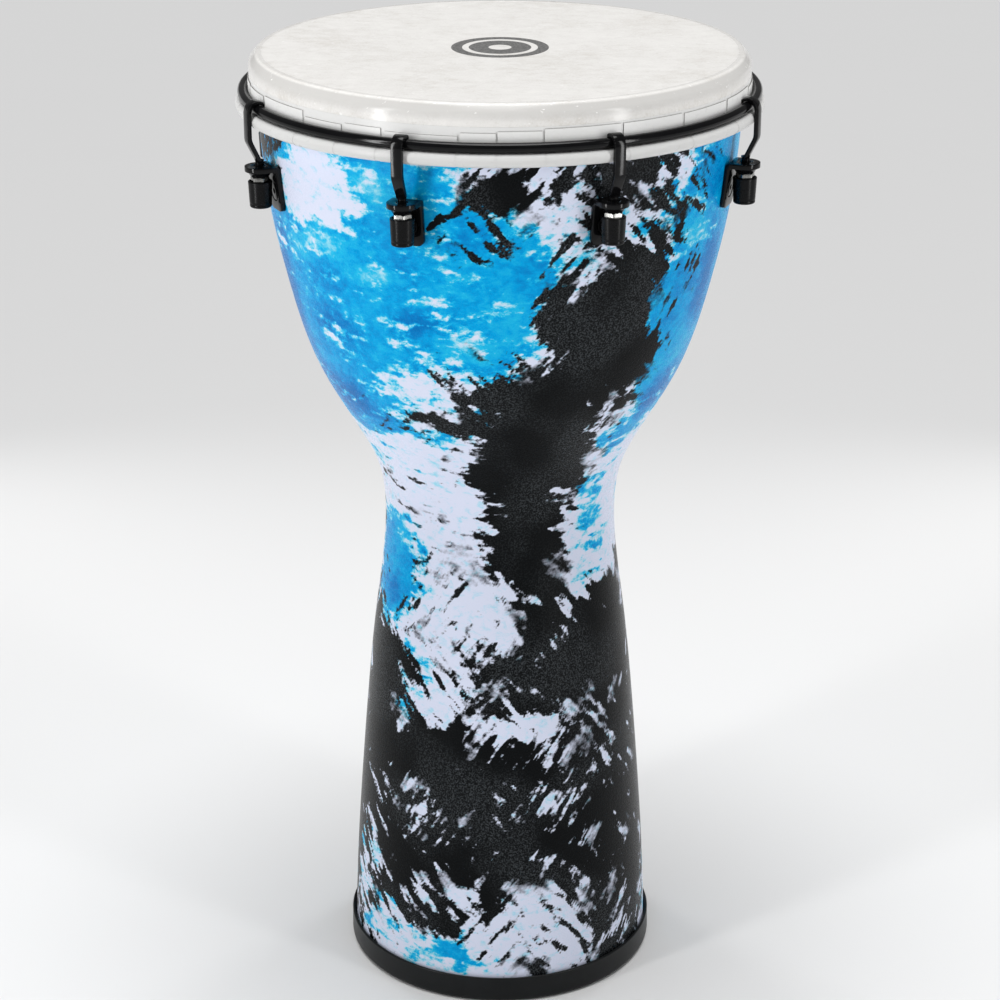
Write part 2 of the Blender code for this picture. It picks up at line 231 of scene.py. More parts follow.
def new_material(name, **constants):
    """An empty material with its Principled shader and an object-space position."""
    material = bpy.data.materials.new(name)
    material.use_nodes = True
    tree = material.node_tree
    shader = tree.nodes["Principled BSDF"]
    for key, value in constants.items():
        shader.inputs[key.replace("_", " ")].default_value = value
    place = add(tree, "TexCoord").outputs["Object"]
    return material, tree, shader, place


def noise(tree, place, size_mm, detail=3.0, rough=0.5, stretch=None, warp=0.0):
    """Fractal noise centred on 0 with blobs about size_mm wide."""
    if stretch:
        place = add(tree, "VectorMath", {0: place, 1: stretch}, operation="MULTIPLY").outputs[0]
    node = add(tree, "TexNoise", {
        "Vector": place, "Scale": 1000.0 / size_mm, "Detail": detail, "Roughness": rough, "Distortion": warp})
    return math_node(tree, "SUBTRACT", node.outputs["Fac"], 0.5)


def math_node(tree, operation, *values, clamp=False):
    node = add(tree, "Math", {i: v for i, v in enumerate(values)}, operation=operation, use_clamp=clamp)
    return node.outputs[0]


def weighted(tree, base, *terms):
    """base + sum of value * weight."""
    total = base
    for value, weight in terms:
        total = math_node(tree, "MULTIPLY_ADD", value, weight, total)
    return total


def smooth_step(tree, value, low, high):
    """0 below low and 1 above high, or the reverse where low is the greater."""
    limits = {"Value": value, "From Min": low, "From Max": high}
    return add(tree, "MapRange", limits, interpolation_type="SMOOTHSTEP").outputs[0]


def ramp(tree, value, stops):
    node = add(tree, "ValToRGB", {"Fac": value})
    elements = node.color_ramp.elements
    while len(elements) < len(stops):
        elements.new(0.5)
    for element, (position, color) in zip(elements, stops):
        element.position = position
        element.color = (*color, 1.0)
    return node.outputs["Color"]


def mix(tree, factor, first, second):
    node = add(tree, "Mix", data_type="RGBA")
    for index, value in ((0, factor), (6, first), (7, second)):
        if isinstance(value, bpy.types.NodeSocket):
            tree.links.new(value, node.inputs[index])
        else:
            node.inputs[index].default_value = value if index == 0 else (*value, 1.0)
    return node.outputs[2]


def bump(tree, shader, height, distance_mm, strength):
    inputs = {"Height": height, "Distance": distance_mm * MM, "Strength": strength}
    tree.links.new(add(tree, "Bump", inputs).outputs[0], shader.inputs["Normal"])


# The dyes, from bare cloth to the deepest blue, and a painted sheen: grey specks in the black that stand in
# for glints off the fabric's grain.
WHITE_INK = (0.70, 0.745, 0.90)
BLACK_INK = (0.0035, 0.0042, 0.0048)
SHEEN_SPECK_COLOR = (0.05, 0.056, 0.061)
BLUE_STOPS = (
    (0.0, WHITE_INK), (0.2, (0.26, 0.68, 0.84)), (0.36, (0.015, 0.50, 0.80)), (0.56, (0.0, 0.36, 0.75)),
    (0.78, (0.0, 0.21, 0.57)), (1.0, (0.0, 0.15, 0.45)),
)
EDGE_SHADOW_COLOR = (0.16, 0.15, 0.14)
PALE_FIBRE_COLOR = (0.97, 0.96, 0.94)
TARGET_COLOR = (0.10, 0.10, 0.10)


def print_material():
    """Dye soaked in layers: a blue one with soft rims and a black one with feathered edges.

    The inks' attributes come from print_fields. The low IOR keeps the pale floor's reflection off the black.
    """
    material, tree, shader, place = new_material("printed_shell", IOR=1.15)
    black = add(tree, "Attribute", attribute_name="ink_black").outputs["Fac"]
    blue = add(tree, "Attribute", attribute_name="ink_blue").outputs["Fac"]
    shade = add(tree, "Attribute", attribute_name="ink_shade").outputs["Fac"]
    fine = noise(tree, place, 3.2, 4, 0.66, stretch=(1, 1, 1.6), warp=0.3)
    stain = noise(tree, place, 7, 5, 0.62, stretch=(1, 1, 1.5), warp=0.4)
    clouds = noise(tree, place, 30, 3)
    bleed = weighted(tree, 1.3, (smooth_step(tree, noise(tree, place, 26, 3), 0.0, 0.22), 4.2))
    black_depth = math_node(tree, "DIVIDE", weighted(tree, black, (fine, 6.5)), bleed)
    black_mask = smooth_step(tree, black_depth, -0.7, 0.9)
    blue_mask = smooth_step(tree, weighted(tree, blue, (stain, 10.0), (fine, 6.0)), -2.2, 3.2)
    washed = math_node(tree, "MULTIPLY", smooth_step(tree, stain, 0.0, 0.26), 0.26)
    blue_mask = math_node(tree, "MAXIMUM", blue_mask, washed)
    depth = weighted(tree, 0.58, (clouds, 0.6), (stain, 0.68), (fine, 0.28), (shade, 0.30))
    blue_color = ramp(tree, math_node(tree, "MULTIPLY", blue_mask, depth), BLUE_STOPS)
    pebble = noise(tree, place, 1.0, 2, 0.55)
    # painted sheen: grey specks in broad patches of the black ink stand in for glints off the pebble grain
    wear_and_sheen = smooth_step(tree, noise(tree, place, 70, 2), -0.06, 0.14)
    sheen_specks = math_node(tree, "MULTIPLY", smooth_step(tree, pebble, -0.1, 0.22), wear_and_sheen)
    black_color = mix(tree, sheen_specks, BLACK_INK, SHEEN_SPECK_COLOR)
    color = mix(tree, black_mask, blue_color, black_color)
    tree.links.new(color, shader.inputs["Base Color"])
    rough = weighted(tree, 0.27, (pebble, 0.2))
    tree.links.new(rough, shader.inputs["Roughness"])
    bump(tree, shader, pebble, 0.3, 0.8)
    return material


def film_material(name, color, mottled, playing=False):
    """Drumhead film: warm and fibrous on the playing face, clean on the collar.

    Two shadings are painted by height, in metres: on the bend of the rim and on the wrap under the ring.
    """
    material, tree, shader, place = new_material(name, IOR=1.5, Specular_IOR_Level=0.25)
    patches = noise(tree, place, 55, 4, 0.6)
    fibres = noise(tree, place, 7, 5, 0.7, stretch=(0.7, 1.2, 1), warp=0.5)
    specks = noise(tree, place, 1.3, 2)
    amount = weighted(tree, 0.5, (patches, mottled), (fibres, mottled), (specks, mottled * 0.7))
    dark = tuple(c * s for c, s in zip(color, (0.84, 0.82, 0.79)))
    light = tuple(min(1.0, c * 1.08) for c in color)
    base = ramp(tree, amount, ((0.15, dark), (0.5, color), (0.85, light)))
    height = height_of(tree, place)
    # painted shade: the bend of the rim is darkened in the colour, by height
    bend = math_node(tree, "MULTIPLY", smooth_step(tree, height, 0.5990, 0.6060),
                     smooth_step(tree, height, 0.6096, 0.6082))
    bend_shade_color = tuple(c * 0.70 for c in color)
    base = mix(tree, math_node(tree, "MULTIPLY", bend, 0.9), base, bend_shade_color)
    # painted shade: the wrap under the ring is darkened in the colour, by height
    under_ring = smooth_step(tree, height, 0.5850, 0.5815)
    wrap_shade_color = tuple(c * 0.78 for c in color)
    base = mix(tree, math_node(tree, "MULTIPLY", under_ring, 0.8), base, wrap_shade_color)
    # painted shadow: the film is darkened to a dark line along the free top edge of each strip
    edge = add(tree, "Attribute", attribute_name="edge_shadow").outputs["Fac"]
    base = mix(tree, edge, base, EDGE_SHADOW_COLOR)
    if playing:
        flecks = noise(tree, place, 2.6, 2, stretch=(0.5, 1.4, 1))
        base = mix(tree, smooth_step(tree, flecks, 0.16, 0.26), base, PALE_FIBRE_COLOR)
        base = centre_mark(tree, place, base, specks)
    tree.links.new(base, shader.inputs["Base Color"])
    rim = smooth_step(tree, flat_radius(tree, place), 0.143, 0.146)
    base_rough, rim_gloss, grain = (0.42, -0.28, 0.5) if playing else (0.3, 0.0, 0.12)
    rough = weighted(tree, base_rough, (fibres, 0.3), (rim, rim_gloss))
    tree.links.new(rough, shader.inputs["Roughness"])
    bump(tree, shader, weighted(tree, specks, (fibres, 0.8)), 0.05, grain)
    return material


def flat_radius(tree, place):
    """Distance from the drum's axis, in metres."""
    flat = add(tree, "VectorMath", {0: place, 1: (1, 1, 0)}, operation="MULTIPLY").outputs[0]
    return add(tree, "VectorMath", {0: flat}, operation="LENGTH").outputs["Value"]


def height_of(tree, place):
    return add(tree, "SeparateXYZ", {0: place}).outputs["Z"]


def centre_mark(tree, place, base, specks):
    """A plain printed target at the centre of the skin: a dark disc with one pale ring and a pale dot."""
    radius = flat_radius(tree, place)
    disc = smooth_step(tree, radius, 0.0299, 0.0295)
    ring_in = smooth_step(tree, radius, 0.0188, 0.0192)
    ring_out = smooth_step(tree, radius, 0.0232, 0.0228)
    dot = smooth_step(tree, radius, 0.0072, 0.0068)
    pale = math_node(tree, "MAXIMUM", math_node(tree, "MULTIPLY", ring_in, ring_out), dot)
    ink = math_node(tree, "MULTIPLY", disc, math_node(tree, "SUBTRACT", 1.0, pale), clamp=True)
    wear_and_sheen = weighted(tree, 0.9, (specks, 0.5))
    return mix(tree, math_node(tree, "MULTIPLY", ink, wear_and_sheen, clamp=True), base, TARGET_COLOR)


def coat_material(name, color, rough, metallic=0.0, grain_mm=0.9, grain=0.05, variation=0.25, ior=1.45):
    """Painted, plated or moulded surfaces: a little uneven in colour and gloss, with a fine grain."""
    material, tree, shader, place = new_material(name, Metallic=metallic, IOR=ior)
    broad = noise(tree, place, 12, 4, 0.6)
    fine = noise(tree, place, grain_mm, 3)
    dark = tuple(c * (1 - variation) for c in color)
    light = tuple(min(1.0, c * (1 + variation)) for c in color)
    tone = weighted(tree, 0.5, (broad, 1.0), (fine, 0.6))
    tree.links.new(ramp(tree, tone, ((0.2, dark), (0.8, light))), shader.inputs["Base Color"])
    tree.links.new(weighted(tree, rough, (broad, 0.15), (fine, 0.12)), shader.inputs["Roughness"])
    bump(tree, shader, fine, grain, 0.4)
    return material


# ---------------------------------------------------------------- the dyed print

# Areas of dye on white cloth, painted in order: ink, centre angle, centre height, half angle, half height and
# an optional tilt, in degrees and millimetres. K is black, B blue and W bare cloth. A small letter is a
# broken area, where the ink only shows in flecks. D is a deeper and L a paler blue. The front areas were read
# one by one and follow the print's overall layout. Beyond 84 degrees, where the photograph shows nothing,
# they are a guess. The shapes of the flecks, wisps and feathered edges are all made by seeded noise.
# The first black area of the bowl, at -78 degrees and 566 millimetres beside the first lug, is a painted
# shadow of the gap there, not ink.
DABS = """
# bowl: blue all round, with clouds of bare cloth
B -45 490 52 110; 4 500 10 46; 70 490 30 108; 115 480 40 106; 165 500 40 100; 215 490 40 106; 255 480 40 108
W -48 548 16 26
w -14 556 9 14
w -30 480 28 18; -22 545 10 20; -66 520 14 20; -8 458 12 16; -34 448 12 14; -22 506 9 8; -6 520 5 14
W -25 432 10 11; -16 430 10 12; -22 408 13 9
K -78 566 13 13 5; 2 556 9 16
k -4 534 8 16
K 32 562 20 16; 42 540 11 28; 28 490 18 52; 34 448 16 34
b 17 538 5 26; 18 512 9 11; 36 538 6 12; 45 556 5 16
w 20 516 7 10
w 53 522 9 10
k 50 545 6 22; 52 500 4 26
# back of the bowl
w 96 520 10 18; 104 462 12 10; 122 545 14 16; 132 430 12 12; 196 462 13 10; 236 486 16 10; 262 456 12 12
W 126 498 9 9; 206 548 11 20; 246 536 10 14
K 146 560 20 26 14; 158 510 15 44 -12; 172 448 20 32; 226 572 12 14
k 136 520 14 44; 176 490 18 44; 160 430 24 24; 216 440 18 16; 232 556 14 20; 110 566 8 12
w 150 520 8 14; 166 470 8 12; 104 412 26 9; 250 412 26 9
b 152 480 12 20; 112 396 30 12; 246 394 30 12
b 164 516 6 12
# waist: bare cloth with black streaks
W -36 350 40 42; -30 270 26 60; -12 250 16 44; 62 340 34 52; 120 350 34 56; 246 350 40 48; 158 300 18 36
K 14 420 28 26 -8; 15 376 24 44; 12 316 22 46; 20 280 18 40; -12 402 20 8
k -8 372 12 12; -6 306 12 12; -54 346 14 10; -30 300 14 20
w 4 268 9 14
B -66 286 24 38; 58 390 12 10
b -66 368 16 8; -50 300 8 20
K 84 278 12 14
K 184 384 20 48 14; 198 322 18 52 -10; 134 296 12 24 -20; 262 306 12 20 12
k 170 398 20 16; 192 340 30 56; 130 306 22 28; 108 340 12 8; 152 352 14 16; 250 322 18 18; 96 372 10 10
w 190 360 10 20; 108 248 26 12; 240 250 28 12; 186 296 8 14
k 108 276 28 14; 236 276 30 16
B 228 330 8 18; 116 392 12 9
b 142 384 12 10; 90 336 7 14; 268 380 12 10; 240 388 10 8
# stem and foot: black, with wisps of bare cloth and a broken pale hem
K -60 190 30 58; -84 236 12 30; -24 150 44 72; 34 210 40 46; 62 240 30 38; 40 90 50 88; 82 180 30 80
b 50 335 8 40
k 44 36 14 22
K 116 150 44 120; 160 140 44 118; 205 150 44 130; 250 150 44 112; 272 110 24 110; -70 90 40 90
W -26 212 13 18; -12 262 14 28
k -38 246 16 18; -26 224 18 16; -6 236 8 20
b -41 212 8 16
W 10 194 18 9
k 16 190 16 12; 0 190 10 12
w 22 172 20 16; 50 170 26 14; 64 186 16 14; 42 152 16 10; 8 250 14 10
w -50 136 16 10 -12; -30 116 12 9 -12
w 42 98 15 12 12; 30 66 16 10; 46 60 10 14; 18 136 12 10
w 108 214 16 12; 122 130 22 14 -10; 152 176 18 12; 190 120 20 14 12; 216 196 16 14; 246 140 20 16 -12
w 170 226 9 16
w 140 78 18 14; 268 196 12 16; 230 70 18 14 10
W 16 52 17 24; 26 34 12 14; -45 14 34 9; 20 16 16 8
k 8 44 14 22; 24 48 12 20
B -20 30 12 12
K -22 56 14 11
W -54 30 18 14; -72 50 8 20; 96 30 13 12; 182 34 16 16; 240 30 14 12
w -64 70 14 34; -56 46 14 16; -38 30 12 12; 52 26 20 10; 74 30 12 14; 90 60 12 24; 150 32 14 10
w 210 34 14 12; 262 50 14 24
b -66 62 12 34; -46 40 12 16; 88 44 12 18; 168 40 12 14; 224 40 12 12; 262 34 12 14
# depth of the blue
D -74 460 12 66; -58 410 22 22; -48 460 14 14; -20 470 9 14; 66 480 10 36; 57 410 12 20; -62 272 12 14
D -67 505 8 14; 110 470 14 40; 200 500 14 30; 250 470 16 30; 190 420 12 14; 228 330 6 12
L -55 506 14 12; -30 500 12 9; -8 455 9 12; -45 515 9 14; -10 350 14 14; -30 560 6 14; 18 523 9 12
L 56 515 9 12
L 42 290 10 14; -65 360 16 16; -68 70 14 40; -42 210 12 12; 20 388 8 12; 130 520 16 20; 236 520 16 24
L 95 340 10 20
"""
REACH = 14.0                          # millimetres in and out of its edge that an ink's depth is followed
FLECKED = {"K": -2.0, "B": -1.0, "W": -3.2}   # a broken area's greatest depth: only noise brings it out
EDGE_SLOPE = 0.48                     # depth gained inward from an area's edge, per millimetre
FEATHERS = 17                         # how far the streaks shift a black edge, in millimetres
MARBLING = 15                         # the same for a blue one
SEAM_BLEND = (150, 30)                # start and length of the blend over the streaks' seam, in degrees


def read_dabs(text):
    """Each area as its ink's letter and five numbers."""
    dabs = []
    for line in text.strip().splitlines():
        if line.startswith("#"):
            continue
        for item in line[1:].split(";"):
            values = [float(v) for v in item.split()]
            dabs.append((line[0], *values, *[0.0] * (5 - len(values))))
    return dabs


def value_noise(x, y, z, table):
    """Smooth noise between -1 and 1 on a repeating lattice."""
    size = table.shape[0]
    cells = [np.floor(q).astype(int) for q in (x, y, z)]
    shares = [q - c for q, c in zip((x, y, z), cells)]
    shares = [s * s * (3 - 2 * s) for s in shares]
    total = 0
    for corner in range(8):
        steps = [corner >> k & 1 for k in range(3)]
        weight = 1
        for share, step in zip(shares, steps):
            weight = weight * (share if step else 1 - share)
        index = tuple((c + s) % size for c, s in zip(cells, steps))
        total = total + weight * table[index]
    return total * 2 - 1


def fractal(points, size, seed, octaves=4, gain=0.5):
    """Seeded noise about -1 to 1 with blobs of a size in millimetres."""
    total, weight, scale, amount = 0, 0, 1 / size, 1.0
    for octave in range(octaves):
        table = np.random.default_rng(seed + octave).random((64, 64, 64)).astype(np.float32)
        x, y, z = (p * scale + s * octave for p, s in zip(points, (17.3, 5.1, 9.7)))
        total = total + amount * value_noise(x, y, z, table)
        weight += amount
        amount *= gain
        scale *= 2
    return total / weight


def streaky(points, angle, tilt, long, wide, seed):
    """Noise in streaks that lean by the tilt from level, on the unrolled surface.

    The surface is unrolled twice, a whole turn apart, and blended, so that no seam shows at the back.
    """
    radius = np.hypot(points[0], points[1])
    unrolled = radius * np.radians(angle)
    lean = math.radians(tilt)
    layers = []
    for x in (unrolled, unrolled - math.radians(360) * radius):
        u = x * math.cos(lean) + points[2] * math.sin(lean)
        v = points[2] * math.cos(lean) - x * math.sin(lean)
        layers.append(fractal((u / long, v / wide, np.full_like(u, 0.5)), 1.0, seed, 4, 0.62))
    start, length = SEAM_BLEND
    share = np.clip((angle - start) / length, 0, 1)
    return layers[0] * (1 - share) + layers[1] * share


def print_fields(angle, height):
    """Depths into the black and the blue ink in millimetres, below 0 outside them, and the blue's shade."""
    radius = shell_radius(height)
    turn = np.radians(angle)
    points = (radius * np.sin(turn), -radius * np.cos(turn), height)
    shift_x = fractal(points, 15, 100, 3) * 8 + fractal(points, 60, 900, 2) * 8
    shift_z = fractal(points, 15, 200, 3) * 6 + fractal(points, 60, 950, 2) * 6
    black = np.full(angle.shape, -REACH)
    blue = np.full(angle.shape, -REACH)
    shade = np.zeros(angle.shape)
    for ink, at, z, half_angle, half_height, tilt in read_dabs(DABS):
        local = float(shell_radius(z))
        half_width = math.radians(half_angle) * local
        x = np.radians((angle - at + 180) % 360 - 180) * radius + shift_x
        y = height - z + shift_z
        c = math.cos(math.radians(tilt))
        s = math.sin(math.radians(tilt))
        share = np.hypot((x * c + y * s) / half_width, (y * c - x * s) / half_height)
        if ink in "DL":
            amount = np.clip(1.3 * (1 - share), 0, 1)
            shade = np.maximum(shade, amount) if ink == "D" else shade - 0.8 * amount
            continue
        inside = EDGE_SLOPE * (1 - share) * min(half_width, half_height)
        kind = ink.upper()
        inside = np.minimum(inside, REACH if ink.isupper() else FLECKED[kind])
        black = np.maximum(black, inside) if kind == "K" else np.minimum(black, -inside)
        if kind == "B":
            blue = np.maximum(blue, inside)
        elif kind == "W":
            blue = np.minimum(blue, -inside)
    # black streaks slant one way or the other, and lie nearly level round the waist
    level = streaky(points, angle, tilt=-6, long=18, wide=4.2, seed=300)
    rising = streaky(points, angle, tilt=52, long=16, wide=4.2, seed=310)
    falling = streaky(points, angle, tilt=-48, long=16, wide=4.2, seed=320)
    lean = np.clip(0.5 + fractal(points, 42, 330, 2) * 2.2, 0, 1)
    slanted = rising * lean + falling * (1 - lean)
    calm = np.clip(1.2 - np.abs(height - 350) / 75, 0, 1) * 0.7 + 0.15
    black = black + FEATHERS * (level * calm + slanted * (1 - calm))
    blue = blue + MARBLING * (0.6 * level + 0.4 * fractal(points, 12, 340, 4, 0.6))
    return np.clip(black, -REACH, REACH), np.clip(blue, -REACH, REACH), shade


# ---------------------------------------------------------------- pieces

def make_shell(material):
    """The goblet, with the print's inks as attributes on its outer rows."""
    print_rows = np.arange(SHELL_BOTTOM, PRINT_TOP, PRINT_STEP)
    outer = [(float(r) * FLAT_SHARE, z) for r, z in zip(shell_radius(print_rows), print_rows)]
    outer += [(float(shell_radius(z)) * FLAT_SHARE, z) for z in (588, 596, 602.5)]
    top_r = float(shell_radius(603)) * FLAT_SHARE
    outer += arc((top_r - 5.5, 603.5), 5.5, 8, 90, 6)
    inner = []
    for z in (600, 580, 557, 521, 480, 443, 411, 379, 347, 315, 282, 240, 180, 122, 60, 5):
        slope = float(shell_radius(z + 1) - shell_radius(z - 1)) / 2
        length = math.hypot(1, slope)
        inner.append((float(shell_radius(z)) - WALL / length, z + WALL * slope / length))
    inner[-1] = (inner[-1][0], SHELL_BOTTOM)
    mesh = revolve("shell_print", outer + inner, SHELL_COLUMNS)
    count = len(print_rows) * SHELL_COLUMNS
    place = np.empty(len(mesh.vertices) * 3, dtype=np.float32)
    mesh.vertices.foreach_get("co", place)
    place = place.reshape(-1, 3)[:count] / MM
    fields = print_fields(np.degrees(np.arctan2(place[:, 0], -place[:, 1])), place[:, 2].astype(float))
    for name, values in zip(("ink_black", "ink_blue", "ink_shade"), fields):
        attribute = mesh.attributes.new(name, "FLOAT", "POINT")
        full = np.full(len(mesh.vertices), REACH if name == "ink_black" else 0.0, dtype=np.float32)
        full[:count] = values
        attribute.data.foreach_set("value", full)
    return add_piece("shell_print", mesh, "drum", ["shell"], material)


def make_head(skin, film):
    """The playing face with its rolled rim, and the collar with its wrap round the hidden hoop."""
    roll = arc((146.6, 607.6), 2.4, 88, 42, 6) + arc((146.6, 602.2), 6.0, 42, 0, 8)
    outline = [(0, 609.4), (144.2, 609.4)] + arc((144.2, 602.6), 6.8, 88, 0, 10)
    outline += [(151.8, 597.5), (152.6, 597.5)] + roll[::-1]
    outline += [(radius, HEAD_TOP) for radius in (140, 100, 50, 15, 0)]
    face = revolve("head_skin", outline, TURNED_COLUMNS, closed=False)
    add_piece("head_skin", face, "drum", ["drumhead"], skin)

    section = [(152.6, 597.45), (151.8, 597.45), (151.8, 580.6)]
    section += arc(HOOP_SECTION, WRAP_R, 178, 405, 30) + arc(HOOP_SECTION, WRAP_R, 405, 475, 8)[1:]
    section += [(153.9, 583.6), (152.6, 586.0)]
    wrap = revolve("head_wrap", section, TURNED_COLUMNS)
    add_piece("head_wrap", wrap, "drum", ["drumhead"], film)


def make_ring(coat):
    """The round rod that the hooks pull down."""
    section = arc(RING_SECTION, RING_ROD_R, 0, 360, 20)[:-1]
    ring = revolve("counterhoop_rod", section, TURNED_COLUMNS)
    add_piece("counterhoop_rod", ring, "drum", ["counterhoop"], coat)


def lug_matrix(index):
    """From a lug's own frame to its place on the drum."""
    turn = Matrix.Rotation(math.radians(FIRST_LUG_DEG + 360 / LUGS * index), 4, "Z")
    return turn @ Matrix.Translation((0, -ROD_RING_R * MM, 0))


# A hook from the side, as (radius, height): the claw's inner curve, the strap's end, the claw's outer curve.
HOOK_INNER = ((153.1, 588.3), (154.3, 589.6), (156.4, 590.1), (158.8, 589.4), (160.6, 587.6), (161.4, 584.8))
HOOK_STRAP = ((161.4, 570.4), (161.2, 568.9), (160.7, 567.5), (155.3, 556.2),
              (157.7, 555.0), (163.2, 566.3), (163.8, 567.8), (164.1, 569.6))
HOOK_OUTER = ((164.1, 585.2), (163.2, 588.6), (161.2, 591.0), (158.6, 592.1), (156.0, 592.1), (153.6, 591.2),
              (152.85, 589.8))
STRAP_WIDTH = 6.8


def eased(points, steps=4):
    """A smooth curve through flat points, both ends kept."""
    p = [np.array(q, dtype=float) for q in (points[0], *points, points[-1])]
    out = []
    for a, b, c, d in zip(p, p[1:], p[2:], p[3:]):
        for k in range(steps):
            t = k / steps
            square = (2 * a - 5 * b + 4 * c - d) * t**2
            cube = (3 * b - a - 3 * c + d) * t**3
            out.append(tuple(0.5 * (2 * b + (c - a) * t + square + cube)))
    return out + [tuple(points[-1])]


def in_lug(radius, height, across=0.0):
    """A point of a lug in its own frame, in metres: origin on the rod's axis, -Y outward."""
    return Vector((across * MM, (ROD_RING_R - radius) * MM, height * MM))


def hook_mesh():
    """The claw and strap with rounded edges, and the threaded rod below it."""
    side = eased(HOOK_INNER) + list(HOOK_STRAP) + eased(HOOK_OUTER)
    flat = extruded("strap", [in_lug(r, z, -STRAP_WIDTH / 2) for r, z in side], (STRAP_WIDTH * MM, 0, 0))
    strap = softened(flat, 0.45 * MM, 60, 3)
    for vert in strap.vertices:       # the strap narrows towards the rod
        share = min(1.0, max(0.0, (568 - vert.co.z / MM) / 12))
        vert.co.x *= 1 - 0.17 * share
    thread = [(0, 531), (2.3, 531)]
    for k in range(24):
        thread += [(2.86, 531.7 + k), (2.86, 531.9 + k), (2.5, 532.15 + k), (2.5, 532.35 + k)]
    thread += [(2.8, 556.6), (0, 556.8)]
    rod = revolve("rod", thread, 24, closed=False)
    bm = bmesh.new()
    bm.from_mesh(strap)
    bm.from_mesh(rod)
    for mesh in (strap, rod):
        bpy.data.meshes.remove(mesh)
    return from_bmesh("tuning_hook", bm)


def bolt_frame():
    """The bolt's own frame on the shell, and the chord it stands on: radius at its foot, slope and tilt."""
    bottom, top = PLATE_CHORD
    low = float(shell_radius(bottom)) * FLAT_SHARE
    slope = (float(shell_radius(top)) * FLAT_SHARE - low) / (top - bottom)
    tilt = math.atan(slope)
    seat = in_lug(low + slope * (BOLT_HEIGHT - bottom), BOLT_HEIGHT)
    return Matrix.Translation(seat) @ Matrix.Rotation(math.pi / 2 + tilt, 4, "X"), low, slope, tilt


def bracket_mesh():
    """A bent plate: upright against the shell, a round-ended flange for the rod, and a boss under it."""
    at_bolt, low, slope, tilt = bolt_frame()

    def plate_r(height, depth):
        return low + slope * (height - PLATE_CHORD[0]) + depth / math.cos(tilt)

    bend = arc((plate_r(550, 3.1) + 1.6, 548.4), 1.6, 180, 90, 5)
    corner = arc((plate_r(550.5, 0.3) + 2.5, 550.5), 2.5, 90, 176, 5)
    side = [(plate_r(525, 0.3), 525), (plate_r(525, 3.1), 525)] + bend
    side += [(165.2, 550), (165.2, 553)] + corner
    angle = extruded("bracket", [in_lug(r, z, -9) for r, z in side], (18 * MM, 0, 0))
    round_end = [(9 * math.cos(a), -9 * math.sin(a)) for a in np.linspace(0, math.pi, 25)]
    plan = [(9.01, 20)] + round_end + [(-9.01, 20)]
    plan_cutter = extruded("plan", [Vector((x * MM, y * MM, 0.5)) for x, y in plan], (0, 0, 0.08))
    face = [(-9.1, 580), (-9.1, 529)] + arc((-5, 529), 4, 180, 270, 8) + arc((5, 529), 4, 270, 360, 8)
    face += [(9.1, 529), (9.1, 580)]
    face_cutter = extruded("face", [Vector((x * MM, -0.02, z * MM)) for x, z in face], (0, 0.04, 0))
    boss = prism("boss", 5.5 * MM, 36, 546.8 * MM, 551 * MM, radius_high=8.1 * MM)
    rod_hole = prism("hole", 3.4 * MM, 32, 0.54, 0.56)
    bolt_hole = prism("bolt_hole", 3.3 * MM, 32, -0.006, 0.006)
    seat = prism("seat", 4.2 * MM, 32, 0.001, 0.0041, radius_high=7.2 * MM)
    for tool in (bolt_hole, seat):
        tool.transform(at_bolt)
    cut = combined("bracket", angle, [
        ("INTERSECT", plan_cutter), ("INTERSECT", face_cutter), ("UNION", boss), ("DIFFERENCE", rod_hole),
        ("DIFFERENCE", bolt_hole), ("DIFFERENCE", seat)])
    return softened(cut, 0.35 * MM, 48, 2)


def bolt_mesh():
    """A countersunk bolt with a hexagon socket, through the plate and the wall."""
    outline = [(0, -13.9), (2.6, -13.9), (2.95, -13.5), (2.95, 0.65)]
    outline += [(5.2, 2.85), (5.4, 3.0), (5.2, 3.1), (0, 3.1)]
    body = revolve("bracket_bolt", outline, 32, closed=False)
    socket = prism("socket", 1.9 * MM, 6, 1.4 * MM, 4 * MM)
    mesh = combined("bracket_bolt", body, [("DIFFERENCE", socket)])
    mesh.transform(bolt_frame()[0])
    return mesh


def tuning_nut_mesh():
    """A hexagon nut with its corners chamfered at both ends."""
    body = prism("tuning_nut", 10 / math.sqrt(3) * MM, 6, 541.5 * MM, 546.5 * MM, turn=math.pi / 6)
    envelope = [(0, 541.4), (5.0, 541.4), (6.3, 542.2), (6.3, 545.8), (5.0, 546.6), (0, 546.6)]
    chamfer = revolve("chamfer", envelope, 48, closed=False)
    bore = prism("bore", 3.25 * MM, 32, 0.54, 0.55)
    nut = combined("tuning_nut", body, [("INTERSECT", chamfer), ("DIFFERENCE", bore)])
    return softened(nut, 0.12 * MM, 50, 2)


def nut_cap_mesh():
    """A moulded cup that the nut is pressed into, with a bead round its foot and a rounded rim."""
    outline = [(0, 528), (5.6, 528)] + arc((5.6, 529.0), 1.0, 270, 350, 5)
    outline += [(6.62, 529.9), (6.5, 530.15), (6.66, 530.45), (6.75, 532), (7.2, 542.6)]
    outline += arc((6.65, 543.4), 0.6, 0, 90, 5)
    outline += [(6.1, 544), (6.1, 541.2), (3.8, 541.2), (3.8, 529.8), (0, 529.8)]
    return revolve("nut_cap", outline, 48, closed=False)


